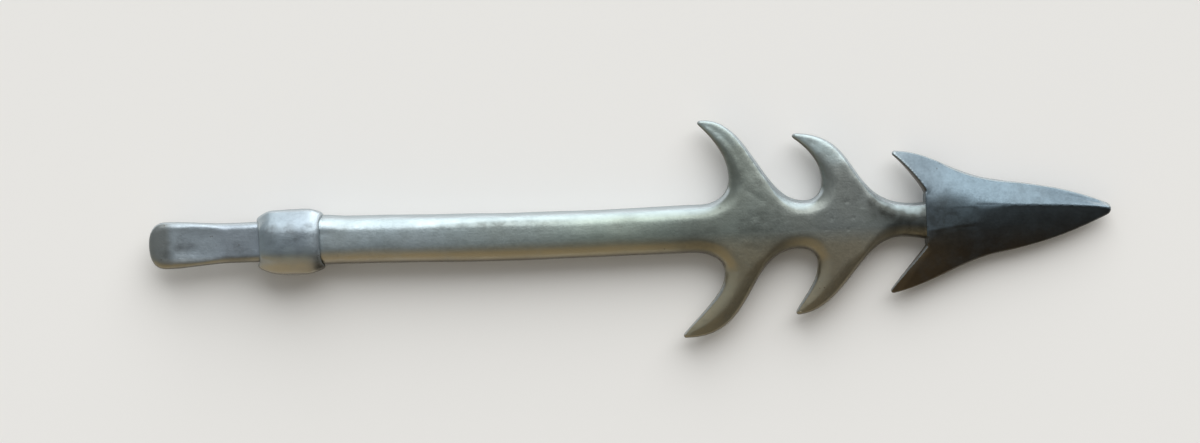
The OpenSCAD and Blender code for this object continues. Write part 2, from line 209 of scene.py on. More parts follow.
def forged(node, relief, soft, shape=unchanged, *, voxel, smooth_rounds, ease_rounds):
    """A piece that stands for a CAD node.

    Its solid is remeshed and smoothed, eased by soft(co), raised along its normals by
    relief(co, normals) and moved by shape(co).
    """
    made = remeshed(node, voxel)
    pairs = edge_pairs(made)
    co = smoothed(vertex_rows(made, "co"), pairs, smooth_rounds)
    co = eased(co, pairs, ease_rounds, soft(co))
    set_places(made, co)
    normals = vertex_rows(made, "normal")
    co = shape(co + normals * relief(co, normals)[:, None])
    set_places(made, co)
    store_wear(made, co, pairs, voxel)
    set_places(made, co * MM)
    made.shade_smooth()
    made.name = node + "_iron"
    piece = bpy.data.objects.new(node + "_iron", made)
    bpy.context.scene.collection.objects.link(piece)
    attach(piece, "root")
    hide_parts(node)
    return piece


# Marks of the hammer, of rust and of use, shared by the pieces

# Lumps of the hammer's waves and ripple along x, y and z, and the noise's level at the true surface
WAVE_SIZE, RIPPLE_SIZE, SURFACE_LEVEL = (7.0, 4.0, 4.0), (2.6, 1.8, 1.8), 0.6
# Groups of pits: their size in pits, where they come in, and the normal's y where pits are worn away
PIT_GROUP, PIT_GROUP_EDGE, PIT_FACING = 9, (0.45, 0.75), (0.05, 0.2)


def pits(p, n, size, level, depth, seed):
    """Corrosion pits: rare, rounded and shallow, in loose groups, and worn away on the upper bevels."""
    hole = smoothstep(level, 1.0, value_noise(p, size, seed))
    grouped = smoothstep(*PIT_GROUP_EDGE, value_noise(p, size * PIT_GROUP, seed + 1))
    return -depth * hole * grouped * (1 - smoothstep(*PIT_FACING, n[:, 1]))


def hammered(p, seed, wave, ripple):
    """Broad hammer waves and a finer ripple, mostly below the true surface."""
    return (wave * (value_noise(p, WAVE_SIZE, seed) - SURFACE_LEVEL)
            + ripple * (value_noise(p, RIPPLE_SIZE, seed + 1) - SURFACE_LEVEL))


def stroke(p, start, end, width):
    """1 on the line from start to end on the upper face, 0 a few widths away from it."""
    a, b = np.array(start), np.array(end)
    along = np.clip((p[:, :2] - a) @ (b - a) / ((b - a) @ (b - a)), 0, 1)
    gap = np.linalg.norm(p[:, :2] - (a + along[:, None] * (b - a)), axis=1)
    return np.exp(-(gap / width) ** 2) * (p[:, 2] > 0)


# The barbed shank

# The hollow planed into the bar's upper half: its middle, its reach along the bar and its depth
HOLLOW_X, HOLLOW_REACH, HOLLOW_DEPTH = 57.0, 9.0, 0.14
# It comes in by how far a place lies above the bar's axis
HOLLOW_ACROSS = (-0.6, 2.2)
# Rims of the barbs' faces: how far the lower ones fall, and the upper rear and upper middle ones rise
RIM_FALL, RIM_RISE_REAR, RIM_RISE_MIDDLE, RIM_WIDTH = 0.35, 0.2, 0.08, 2.3
# The rough place between the pairs of barbs: its middle and reach, its lumps and their depth
ROUGH_MIDDLE, ROUGH_REACH = (83.5, -0.6), (4.5, 2.6)
ROUGH_LUMPS, ROUGH_DEPTH = (1.5, 0.9, 1.0), 0.06
# The scar beside it: its start, end and width, and its depth
SCAR, SCAR_DEPTH = ((81.6, 5.2), (84.2, 3.4), 0.45), 0.03
# The bar's upper side swells by this much where it comes out of the collar, up to this x and from this y
SWELL_HEIGHT, SWELL_END, SWELL_ACROSS = 0.3, 15.5, (1.0, 3.0)
# Easing: the lower side by y, the bar's end by x and the bevels by height
LOWER_SIDE, BAR_END, BEVEL_HEIGHT = (0.0, -2.0), (62.0, 74.0), (0.9, 2.2)
# Its share on the bevels that aren't on the bar's lower side
UPPER_EASE = 0.22
# Easing on the barbs: from here out from the axis and in from the rim, and its share
BARB_SOFT_FROM, BARB_SOFT_RIM, BARB_EASE = (5.0, 8.0), (0.4, 1.2), 0.9
# The neck is pushed into the point's back and thickened by a share, over the last stretch
SEAT_PUSH, SEAT_THICKER, SEAT_STRETCH = 0.9, 0.02, 2.5
# The tenon inside stays as it is, and the push is full this much outside its sides
TENON_HALF, TENON_CLEAR = 1.5, 0.4
# Tips of the barbs (x, y), the share by which each is thinner there, and how far back that reaches
BARB_TIPS = [(73.5, 17.0, 0.42), (89.5, 14.3, 0.48), (70.0, -18.5, 0.12), (88.2, -15.4, 0.2)]
THINNED_LENGTH = 11.0


def bar_middle(x):
    """The bar's axis steps aside in front of the collar."""
    return -BLADE_SET * smoothstep(COLLAR_FRONT, SET_END, x)


def barb_faces(p, n):
    """The barbs' faces fall to the rim on the lower side and rise to it on the upper side."""
    x = p[:, 0]
    on_barb = smoothstep(*BARBS_FROM_AXIS, off_axis(p)) * smoothstep(*BARBS_FROM_X, x)
    rise = RIM_RISE_REAR + (RIM_RISE_MIDDLE - RIM_RISE_REAR) * smoothstep(*REAR_TO_MIDDLE, x)
    rim = 1 - smoothstep(0.0, RIM_WIDTH, rim_distance(p))
    return np.where(p[:, 1] > 0, rise, -RIM_FALL) * np.abs(n[:, 2]) * on_barb * rim


def rough_place(p):
    """A rough place on the upper face between the pairs of barbs, with a scar beside it."""
    off = (p[:, :2] - np.array(ROUGH_MIDDLE)) / np.array(ROUGH_REACH)
    rough = np.exp(-(off ** 2).sum(axis=1)) * (p[:, 2] > 0)
    lumps = rough * (value_noise(p, ROUGH_LUMPS, seed=51) - 0.5)
    return -ROUGH_DEPTH * lumps - SCAR_DEPTH * stroke(p, *SCAR)


def shank_relief(p, n):
    """The bar's hollow and swell, the barbs' faces, the hammer's marks, pits and the rough place."""
    x, y = p[:, 0], p[:, 1]
    near_hollow = np.exp(-((x - HOLLOW_X) / HOLLOW_REACH) ** 2)
    hollow = -HOLLOW_DEPTH * near_hollow * smoothstep(*HOLLOW_ACROSS, y - bar_middle(x))
    swell = SWELL_HEIGHT * (1 - smoothstep(COLLAR_FRONT, SWELL_END, x)) * smoothstep(*SWELL_ACROSS, y)
    skin = hammered(p, seed=11, wave=0.07, ripple=0.03)
    skin = skin + pits(p, n, size=0.9, level=0.8, depth=0.045, seed=21)
    return hollow + barb_faces(p, n) + swell + skin + rough_place(p)


def shank_soft(co):
    """The bar's lower bevel is worn much rounder than its upper one, and the outline's edge stays."""
    lower_bar = smoothstep(*LOWER_SIDE, co[:, 1]) * (1 - smoothstep(*BAR_END, co[:, 0]))
    bevels = smoothstep(*BEVEL_HEIGHT, np.abs(co[:, 2])) * (UPPER_EASE + (1 - UPPER_EASE) * lower_bar)
    on_barb = smoothstep(*BARB_SOFT_FROM, off_axis(co)) * smoothstep(*BARB_SOFT_RIM, rim_distance(co))
    return np.maximum(bevels, BARB_EASE * on_barb)


def seated(co):
    """The neck is driven hard into the point's back, so no groove shows between them."""
    from_tenon = np.maximum(off_axis(co), np.abs(co[:, 2]))
    off_tenon = smoothstep(TENON_HALF, TENON_HALF + TENON_CLEAR, from_tenon)
    tight = (smoothstep(POINT_BACK - SEAT_STRETCH, POINT_BACK, co[:, 0]) * off_tenon)[:, None]
    return co + tight * (np.array((SEAT_PUSH, 0, 0)) + np.array((0, 0, SEAT_THICKER)) * co)


def thinned(co):
    """The barbs are drawn out thinner towards their tips, the upper pair more."""
    for x, y, share in BARB_TIPS:
        near = 1 - smoothstep(0.0, THINNED_LENGTH, np.hypot(co[:, 0] - x, co[:, 1] - y))
        co = co * np.stack((np.ones(len(co)), np.ones(len(co)), 1 - share * near), axis=1)
    return co


def shank_shape(co):
    """The neck seated in the point's back and the barbs drawn out."""
    return thinned(seated(co))


# The point

# Its ridge: how far above the blade's axis it starts, and how far above it ends at the tip
RIDGE_START, RIDGE_TIP = 2.2, 0.45
# How far its faces swell for each mm of width, above and below the ridge, and by x where that comes in
FACE_UPPER, FACE_LOWER, FACE_FROM = 0.045, 0.018, (112.0, 124.0)
# The least width that counts, so that nothing is divided by none
LEAST_WIDTH = 0.1
# The chamfer filed on the lower barb's rear edge: its depth and width, and by y where it comes in
FILED_DEPTH, FILED_WIDTH, FILED_FROM_Y = 0.24, 1.3, (-5.0, -6.5)
# The notch where that edge starts, and the way in from the edge
LOW_NOTCH, LOW_INWARD = (POINT_BACK, -4.9), (0.787, -0.617)
# A dent on the upper face: its start, end, width and depth
POINT_DENT, POINT_DENT_DEPTH = ((123.4, 5.2), (124.4, 2.8), 0.7), 0.03
# Easing of the ridge's start: in from the rim and the back, over this stretch, above this height
CROWN_RIM, CROWN_STRETCH, CROWN_HEIGHT = (0.3, 1.5), (116.0, 126.0), 0.8
# The back counts as a rim only this near the axis, where the neck enters it
CROWN_BACK_HALF, FAR_AWAY = 3.5, 9.0


def ridge_y(x):
    """Where the point's ridge runs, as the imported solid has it."""
    along = np.clip((x - POINT_BACK) / POINT_LEN, 0, 1)
    return -BLADE_SET + RIDGE_START * np.sqrt(1 - along) + RIDGE_TIP * along


def point_relief(p, n):
    """The four faces of the point swell a little between ridge and edge."""
    from_ridge = np.abs(p[:, 1] - ridge_y(p[:, 0]))
    width = from_ridge + rim_distance(p)
    share = from_ridge / np.maximum(width, LEAST_WIDTH)
    height = np.where(p[:, 1] > ridge_y(p[:, 0]), FACE_UPPER, FACE_LOWER)
    swell = height * width * 4 * share * (1 - share) * smoothstep(*FACE_FROM, p[:, 0])
    behind = (p[:, :2] - np.array(LOW_NOTCH)) @ np.array(LOW_INWARD)
    edge = (1 - smoothstep(0.0, FILED_WIDTH, behind)) * smoothstep(*FILED_FROM_Y, p[:, 1])
    filed = -FILED_DEPTH * edge * np.abs(n[:, 2])
    dent = -POINT_DENT_DEPTH * stroke(p, *POINT_DENT)
    return swell + filed + hammered(p, seed=12, wave=0.03, ripple=0.01) + dent


def point_soft(co):
    """The point's ridge starts out of the neck as a soft crown and is crisp further on."""
    to_back = np.where(off_axis(co) < CROWN_BACK_HALF, np.abs(co[:, 0] - POINT_BACK), FAR_AWAY)
    inside = smoothstep(*CROWN_RIM, np.minimum(rim_distance(co), to_back))
    return inside * (1 - smoothstep(*CROWN_STRETCH, co[:, 0])) * (np.abs(co[:, 2]) > CROWN_HEIGHT)


# The collar

# Its broad faces bow: the middle and half width of the bow, and its height
BOW_MIDDLE, BOW_HALF, BOW_HEIGHT = -0.3, 3.2, 0.1
# Its rear end is beaten in below and above: how far towards +Y, fading by x, and by y where it comes in
BEATEN = [(0.6, (-0.5, 5.0), (-2.0, -4.5)), (-0.5, (-0.5, 2.5), (2.5, 5.0))]
# Easing by height, and the least share of it anywhere
COLLAR_SOFT_HEIGHT, COLLAR_SOFT_LEAST = (2.0, 3.4), 0.1


def collar_relief(p, n):
    """The bow of its broad faces, the hammer's marks and pits."""
    across = np.clip((p[:, 1] - BOW_MIDDLE) / BOW_HALF, -1, 1)
    bow = BOW_HEIGHT * (1 - across * across) * np.abs(n[:, 2])
    skin = hammered(p, seed=13, wave=0.12, ripple=0.06)
    return bow + skin + pits(p, n, size=0.8, level=0.78, depth=0.05, seed=23)


def collar_soft(co):
    """The collar's broad faces run softly into their bevels."""
    height = smoothstep(*COLLAR_SOFT_HEIGHT, np.abs(co[:, 2]))
    return COLLAR_SOFT_LEAST + (1 - COLLAR_SOFT_LEAST) * height


def collar_shape(co):
    """The collar's rear end is beaten in a little on both sides."""
    moved = sum(push * (1 - smoothstep(*fading, co[:, 0])) * smoothstep(*side, co[:, 1])
                for push, fading, side in BEATEN)
    return co + moved[:, None] * np.array((0, 1, 0))


# The tang

# Dents in its dish, each as start, end, width and share of the depth
TANG_DENTS = [((-13.2, -0.9), (-10.8, -0.5), 0.9, 1.0), ((-15.2, -1.6), (-14.8, 0.2), 0.6, 0.8)]
TANG_DENT_DEPTH = 0.07
# Easing by height
TANG_SOFT_HEIGHT = (0.5, 1.1)


def tang_relief(p, n):
    """The hammer's marks, pits and the dents in its dish."""
    dents = sum(share * stroke(p, start, end, width) for start, end, width, share in TANG_DENTS)
    skin = hammered(p, seed=14, wave=0.07, ripple=0.04)
    return skin + pits(p, n, size=0.9, level=0.8, depth=0.05, seed=24) - TANG_DENT_DEPTH * dents


def tang_soft(co):
    """Its edge stays, and its broad faces and their bevels run softly."""
    return smoothstep(*TANG_SOFT_HEIGHT, np.abs(co[:, 2]))


# Materials

RUST = (0.07, 0.05, 0.035)
# The colour of dark marks: painted shade in most places, a dark patch of the metal in one
DIRT_AND_SHADE = (0.028, 0.028, 0.023)
# The colour of painted highlights
PAINTED_HIGHLIGHT = (0.44, 0.54, 0.56)
BRIGHT = (0.50, 0.56, 0.57)
# The colour of the painted highlight on the bevels that face the lamp's side
PAINTED_SHEEN = (0.305, 0.365, 0.38)
# The colour of the painted shade on the lower side's upright rims
PAINTED_RIM_SHADE = (0.10, 0.085, 0.06)
# The colour of the painted highlight on the upper side's arrises
PAINTED_ARRIS_LIGHT = (0.55, 0.61, 0.64)
METALLIC = 0.9
# Each seed shifts a noise by this much
SEED_STEP = (7.3, 3.1, 5.7)
# A ramp is a tuple (from, to), which gives 0 to 1, or (from, to, value from, value to)
MOTTLE, CLOUD = (0.35, 0.68), (0.35, 0.7)
# The share of the broad and of the small clouds, and how dark they are beside the skin
MOTTLE_SHARE, CLOUD_SHARE, DARKER = 0.22, 0.16, 0.3
# The lower side's colours, painted shade with a painted warm reflection on the metal that faces -Y, by the
# normal's y, for all pieces but the point
SHADE_FACING = (-0.05, -0.6, 0.0, 0.45)
# They change by y from those near the middle to those at the rim, and cover at most this share
LOW_ACROSS, LOW_MOST = (-1.0, -7.0), 0.95
# How patchy they are there, and how patchy where they lie thinly elsewhere
LOW_PATCHES, THIN_PATCHES = (0.2, 0.6, 0.8, 1.0), (0.25, 0.7, 0.3, 1.0)
# Rust spots by their cells and groups, how much rust they show and how much rougher they are
SPOT_EDGE, SPOT_GROUPS, SPOT_RUST, SPOT_ROUGHER = (0.16, 0.05), (0.55, 0.7), 0.7, 0.3
# The side towards the lamp, whose bevels get a painted highlight, how far a bevel faces it, and the grain
# in that painted sheen
LIT_SIDE, LIT_FACING, SHEEN_GRAIN = (0.42, 0.91, 0.0), (0.32, 0.58), (0.2, 0.6, 0.8, 1.0)
# Marks are clouded, and pale ones, which are painted highlights, lie on broad faces only
MARK_CLOUDS, PALE_LEVEL = (0, 1, 0.6, 1.0), (0.72, 0.95)
# The upright rim's painted shade, by level and by how far it faces +Y
RIM_LEVEL, RIM_SIDE = (0.75, 0.3), (-0.15, -0.45, 0.0, 0.9)
# The arris between bevel and rim, painted as a highlight, by level from above and from below, and by how
# far it faces +Y
ARRIS_ABOVE, ARRIS_BELOW, ARRIS_SIDE = (0.80, 0.60), (0.10, 0.30), (0.2, 0.45, 0.0, 0.8)
# Worn metal: its patches, how it fades towards -Y and the most that it covers
WORN_PATCHES, WORN_SIDE, WORN_MOST = (0.3, 0.6, 0.3, 1.0), (-0.4, 0.1, 0.1, 1.0), 0.5
# Roughness by the fine grain, and how much rougher the mottled places are
MATT, MATT_MOTTLE = (0.3, 0.7, 0.30, 0.42), (0, 1, 0.0, 0.06)
# Depths of the fine grain and of the scratches in metres, and the scratches' stretch and share of strength
GRAIN_DEPTH, SCRATCH_DEPTH, SCRATCH_STRETCH, SCRATCH_SHARE = 0.00004, 0.00003, (0.12, 1, 1), 0.6


class Nodes:
    """Short hand for building a node tree."""

    def __init__(self, tree):
        self.tree = tree

    def new(self, kind, **settings):
        node = self.tree.nodes.new("ShaderNode" + kind)
        for name, value in settings.items():
            setattr(node, name, value)
        return node

    def put(self, value, socket):
        """Links value to the socket or, where it is a number or a colour, sets it there."""
        if isinstance(value, bpy.types.NodeSocket):
            self.tree.links.new(value, socket)
        elif socket.type == "RGBA":
            socket.default_value = (*value, 1)
        else:
            socket.default_value = value

    def ramp(self, value, low, high, out_low=0.0, out_high=1.0, kind="SMOOTHSTEP"):
        """From out_low to out_high as value goes from low to high."""
        node = self.new("MapRange", interpolation_type=kind)
        names = ("From Min", "From Max", "To Min", "To Max")
        for name, number in zip(names, (low, high, out_low, out_high)):
            node.inputs[name].default_value = number
        self.put(value, node.inputs["Value"])
        return node.outputs["Result"]

    def bands(self, value, stops, kind):
        """Colours along value from 0 to 1, run into each other as kind says."""
        node = self.new("ValToRGB")
        node.color_ramp.interpolation = kind
        elements = node.color_ramp.elements
        while len(elements) < len(stops):
            elements.new(1.0)
        for element, (place, colour) in zip(elements, stops):
            element.position = place
            element.color = (*colour, 1)
        self.put(value, node.inputs["Fac"])
        return node.outputs["Color"]

    def math(self, operation, a, b):
        node = self.new("Math", operation=operation)
        self.put(a, node.inputs[0])
        self.put(b, node.inputs[1])
        return node.outputs["Value"]

    def plus(self, a, b):
        return self.math("ADD", a, b)

    def times(self, a, b):
        return self.math("MULTIPLY", a, b)

    def mix(self, share, a, b):
        """The colour a where share is 0 and b where it is 1."""
        node = self.new("Mix", data_type="RGBA")
        self.put(share, node.inputs["Factor"])
        self.put(a, node.inputs[6])
        self.put(b, node.inputs[7])
        return node.outputs[2]

    def axis(self, vector, name):
        node = self.new("SeparateXYZ")
        self.put(vector, node.inputs["Vector"])
        return node.outputs[name]

    def towards(self, vector, direction):
        """How far vector points in a direction."""
        node = self.new("VectorMath", operation="DOT_PRODUCT")
        node.inputs[1].default_value = direction
        self.put(vector, node.inputs[0])
        return node.outputs["Value"]


class IronNodes(Nodes):
    """The node tree of one piece's material, with places in mm and the noises that its layers share."""

    def __init__(self, name):
        self.material = bpy.data.materials.new(name)
        self.material.use_nodes = True
        super().__init__(self.material.node_tree)
        self.shader = self.tree.nodes["Principled BSDF"]
        coordinates = self.new("TexCoord")
        self.place = self.mapped(coordinates.outputs["Object"], (0, 0, 0), (1 / MM,) * 3)
        self.x = self.axis(self.place, "X")
        self.y = self.axis(self.place, "Y")
        self.normal = coordinates.outputs["Normal"]
        # How far the metal faces +Y, and how far it faces up or down
        self.side = self.axis(self.normal, "Y")
        self.level = self.math("ABSOLUTE", self.axis(self.normal, "Z"), 0)
        self.mottle = self.ramp(self.noise(size=6.0, seed=1, rough=0.55), *MOTTLE)
        self.cloud = self.ramp(self.noise(size=1.6, seed=2), *CLOUD)
        self.fine = self.noise(size=0.35, seed=3)

    def mapped(self, vector, shift, scale):
        node = self.new("Mapping")
        node.inputs["Location"].default_value = shift
        node.inputs["Scale"].default_value = scale
        self.put(vector, node.inputs["Vector"])
        return node.outputs["Vector"]

    def scattered(self, kind, size, seed, stretch=(1, 1, 1)):
        """A texture node with lumps about size across."""
        node = self.new(kind)
        node.inputs["Scale"].default_value = 1 / size
        shift = tuple(seed * step for step in SEED_STEP)
        self.put(self.mapped(self.place, shift, stretch), node.inputs["Vector"])
        return node

    def noise(self, size, seed, detail=3.0, rough=0.6, stretch=(1, 1, 1)):
        node = self.scattered("TexNoise", size, seed, stretch)
        node.inputs["Detail"].default_value = detail
        node.inputs["Roughness"].default_value = rough
        return node.outputs["Fac"]

    def cells(self, size, seed):
        return self.scattered("TexVoronoi", size, seed).outputs["Distance"]

    def along(self, stops):
        """Colours by x in mm."""
        first, last = stops[0][0], stops[-1][0]
        share = self.ramp(self.x, first, last, kind="LINEAR")
        return self.bands(share, [((x - first) / (last - first), colour) for x, colour in stops], "EASE")

    def stored(self, name):
        return self.new("Attribute", attribute_name=name).outputs["Fac"]

    def bump(self, height, strength, distance, under=None):
        node = self.new("Bump")
        node.inputs["Strength"].default_value = strength
        node.inputs["Distance"].default_value = distance
        self.put(height, node.inputs["Height"])
        if under is not None:
            self.put(under, node.inputs["Normal"])
        return node.outputs["Normal"]


def clouded(m, skin):
    """The skin's colours with clouds of a darker shade."""
    middle_colour = skin[len(skin) // 2][1]
    clouds = m.plus(m.times(m.mottle, MOTTLE_SHARE), m.times(m.cloud, CLOUD_SHARE))
    return m.mix(clouds, m.along(skin), tuple(DARKER * value for value in middle_colour))


def patina_and_painted_shade(m, colour, low, low_spread, low_facing, patina):
    """Painted shade and a painted warm reflection on the lower side, which come in towards -Y, and the
    same colours thinly elsewhere as patina.
    """
    painted_shade_side = m.plus(m.ramp(m.side, *low_facing), m.ramp(m.y, *low_spread))
    painted_shade_side = m.math("MINIMUM", painted_shade_side, LOW_MOST)
    painted_shade_side = m.times(painted_shade_side, m.ramp(m.noise(size=3.0, seed=4), *LOW_PATCHES))
    thin = m.noise(size=9.0, seed=5, detail=2.0, rough=0.5)
    thin = m.times(m.ramp(thin, *THIN_PATCHES), patina)
    near_middle, at_rim = low
    deep = m.mix(m.ramp(m.y, *LOW_ACROSS), m.along(near_middle), m.along(at_rim))
    return m.mix(m.math("MAXIMUM", thin, painted_shade_side), colour, deep)


def rust_spots(m):
    """1 in small spots, in loose groups."""
    groups = m.noise(size=4.0, seed=7, detail=2.0, rough=0.5)
    return m.times(m.ramp(m.cells(size=1.1, seed=6), *SPOT_EDGE), m.ramp(groups, *SPOT_GROUPS))


def lit_side_sheen(m, colour, painted_sheen):
    """Painted highlight: the bevels that face the lamp's side are painted brighter, by the given share."""
    lit = m.ramp(m.towards(m.normal, LIT_SIDE), *LIT_FACING, 0.0, painted_sheen)
    return m.mix(m.times(lit, m.ramp(m.fine, *SHEEN_GRAIN)), colour, PAINTED_SHEEN)


def marked(m, colour, marks, paint, where):
    """Soft round or long marks of one paint, as strong as their share and where says."""
    for x, y, radius, share in marks:
        along, across = radius if isinstance(radius, tuple) else (radius, radius)
        dx = m.math("POWER", m.math("DIVIDE", m.math("SUBTRACT", m.x, x), along), 2)
        dy = m.math("POWER", m.math("DIVIDE", m.math("SUBTRACT", m.y, y), across), 2)
        mark = m.ramp(m.plus(dx, dy), 1.0, 0.0, 0.0, share)
        mark = m.times(mark, m.ramp(m.cloud, *MARK_CLOUDS))
        colour = m.mix(m.times(mark, where), colour, paint)
    return colour


def painted_rim_light_and_shade(m, colour):
    """Painted shade on the upright rim of the lower side, and a painted highlight on the arris above it on
    the upper side.
    """
    rim_shade = m.times(m.ramp(m.level, *RIM_LEVEL), m.ramp(m.side, *RIM_SIDE))
    colour = m.mix(rim_shade, colour, PAINTED_RIM_SHADE)
    light = m.times(m.ramp(m.level, *ARRIS_ABOVE), m.ramp(m.level, *ARRIS_BELOW))
    light = m.times(light, m.ramp(m.side, *ARRIS_SIDE))
    return m.mix(light, colour, PAINTED_ARRIS_LIGHT)


def worn(m, colour):
    """Bare metal where the mesh is most convex, in patches and less on the lower side."""
    bare = m.times(m.stored("wear"), m.ramp(m.noise(size=1.2, seed=8), *WORN_PATCHES))
    bare = m.times(bare, m.ramp(m.side, *WORN_SIDE))
    return m.mix(m.times(bare, WORN_MOST), colour, BRIGHT)


def iron(name, skin, low, low_spread, low_facing, patina, painted_sheen, grain, dirt_and_shade_marks=(), pale=()):
    """Worn forged iron.

    skin: colours along the part, each as (x, colour)
    low: the same for its lower side, near the middle and at the rim, which paint shade and a warm
    reflection there
    low_spread: how the lower side's colours come in by y (from, to, share from, share to)
    low_facing: how they come in by the normal's y, in the same form
    patina: their share elsewhere
    painted_sheen: the share of the painted highlight on the bevels that face the lamp's side
    grain: strength of the fine bumps
    dirt_and_shade_marks, pale: dark marks (painted shade in most places, a dark patch in one) and painted
    highlights, each as (x, y, radius, share), where a long mark has two radii, along x and across
    """
    m = IronNodes(name)
    spots = rust_spots(m)
    colour = clouded(m, skin)
    # Painted shade and a painted warm reflection on the lower side, and thin patina elsewhere
    colour = patina_and_painted_shade(m, colour, low, low_spread, low_facing, patina)
    colour = m.mix(m.times(spots, SPOT_RUST), colour, RUST)
    # Painted highlight on the bevels that face the lamp's side
    colour = lit_side_sheen(m, colour, painted_sheen)
    # Painted highlights, then dark marks: painted shade in most places, a dark patch in one
    colour = marked(m, colour, pale, PAINTED_HIGHLIGHT, m.ramp(m.level, *PALE_LEVEL))
    colour = marked(m, colour, dirt_and_shade_marks, DIRT_AND_SHADE, 1.0)
    # Painted shade and highlight at the rims, then wear on the convex edges
    colour = worn(m, painted_rim_light_and_shade(m, colour))
    m.put(colour, m.shader.inputs["Base Color"])
    m.shader.inputs["Metallic"].default_value = METALLIC
    matt = m.plus(m.ramp(m.fine, *MATT), m.ramp(m.mottle, *MATT_MOTTLE))
    m.put(m.plus(matt, m.times(spots, SPOT_ROUGHER)), m.shader.inputs["Roughness"])
    scratches = m.noise(size=0.5, seed=9, detail=2.0, stretch=SCRATCH_STRETCH)
    bumps = m.bump(m.fine, grain, GRAIN_DEPTH)
    bumps = m.bump(scratches, grain * SCRATCH_SHARE, SCRATCH_DEPTH, bumps)
    m.put(bumps, m.shader.inputs["Normal"])
    return m.material


def dress(piece, material):
    piece.data.materials.clear()
    piece.data.materials.append(material)


# What each piece's iron looks like

SHANK_LOOK = dict(
    skin=[(0, (0.37, 0.445, 0.49)), (22, (0.365, 0.44, 0.48)), (40, (0.30, 0.36, 0.365)),
          (60, (0.26, 0.32, 0.29)), (74, (0.18, 0.21, 0.19)), (100, (0.18, 0.20, 0.195)),
          (108, (0.09, 0.11, 0.115))],
    # Painted shade and a painted warm reflection on the lower side, olive at the bar and browner on the
    # blade
    low=([(0, (0.37, 0.325, 0.235)), (58, (0.35, 0.31, 0.215)), (72, (0.25, 0.23, 0.165)),
          (108, (0.25, 0.23, 0.17))],
         [(0, (0.36, 0.30, 0.21)), (58, (0.33, 0.28, 0.18)), (72, (0.27, 0.235, 0.155)),
          (108, (0.25, 0.215, 0.145))]),
    low_spread=(-0.8, -4.6, 0.0, 0.8),
    low_facing=SHADE_FACING,
    patina=0.12,
    painted_sheen=0.85,
    grain=0.5,
    dirt_and_shade_marks=[
        # Painted shade under the bar's bright strip, narrowing it
        (40.0, 1.4, (16.0, 0.8), 0.48),
        # Painted shade at the roots of the barbs, and a dark patch in the middle of the blade
        (73.5, -4.0, 5.0, 0.3),
        (80.0, 9.0, 7.0, 0.28),
        (83.5, -1.0, 5.0, 0.25),
        (89.6, 2.4, 2.6, 0.22),
        (95.5, 7.0, 4.0, 0.2),
        # Painted shade down the slope from the upper middle barb onto the neck, trimming the neck's
        # highlight
        (98.5, 4.2, 2.8, 0.25),
        (102.6, 2.5, 1.8, 0.4),
        (103.6, 1.6, 2.8, 0.55),
        (104.8, 0.9, 1.9, 0.6),
        (106.3, 0.0, 1.5, 0.5),
        # Painted shade at the point's back, where the neck meets it
        (109.0, -2.2, 5.5, 0.7),
        (110.9, -0.1, 1.1, 0.6)],
    pale=[
        # Painted highlights towards the upper rear barb's tip
        (74.8, 16.5, 2.2, 0.35),
        (77.0, 15.9, 2.6, 0.3),
        (79.3, 14.4, 2.6, 0.15),
        # Painted highlights towards the upper middle barb's tip
        (90.8, 13.8, 2.2, 0.4),
        (93.2, 12.8, 2.8, 0.5),
        (96.2, 11.2, 3.0, 0.33),
        # The neck's painted highlight
        (108.4, 1.1, 1.1, 0.5),
        (109.5, 1.0, 1.1, 0.5)])

POINT_LOOK = dict(
    skin=[(104, (0.16, 0.195, 0.215)), (111, (0.12, 0.155, 0.18)), (118, (0.13, 0.175, 0.205)),
          (142, (0.12, 0.16, 0.19))],
    # Painted shade: the point's lower facets are painted near black, darker towards the tip
    low=([(106, (0.070, 0.066, 0.058)), (124, (0.038, 0.043, 0.045))],
         [(106, (0.105, 0.075, 0.040)), (122, (0.045, 0.033, 0.020))]),
    low_spread=(-2.0, -6.0, 0.0, 1.0),
    low_facing=(-0.03, -0.26, 0.0, 0.95),
    patina=0.05,
    painted_sheen=0.0,
    grain=0.3,
    dirt_and_shade_marks=[
        # Painted shade at its back, and on its upper face
        (114.0, -1.6, 6.0, 0.6),
        (128.5, 2.6, 4.5, 0.18)])

COLLAR_LOOK = dict(
    skin=[(0, (0.23, 0.28, 0.31)), (7.5, (0.24, 0.29, 0.33)), (11, (0.44, 0.52, 0.57))],
    # Painted shade and a painted warm reflection on the lower side
    low=([(0, (0.35, 0.325, 0.26)), (11, (0.35, 0.325, 0.26))],
         [(0, (0.385, 0.345, 0.265)), (11, (0.385, 0.345, 0.265))]),
    low_spread=(-2.6, -4.9, 0.0, 0.8),
    low_facing=SHADE_FACING,
    patina=0.08,
    painted_sheen=0.0,
    grain=0.6,
    dirt_and_shade_marks=[
        # Painted shadow in the front lower corner, against the bar
        (10.9, -3.9, 2.1, 1.0),
        # Painted shade along the upper bevel's start
        (2.2, 1.6, 2.4, 0.34),
        (2.6, 1.9, 1.3, 0.25),
        (5.6, 2.1, 1.3, 0.35),
        (5.8, 1.5, 2.5, 0.34),
        (8.7, 1.8, 1.6, 0.5)],
    pale=[
        # Painted highlight along the lower bevel's start
        (5.5, -2.0, 1.7, 0.25),
        (8.3, -2.2, 1.7, 0.25)])

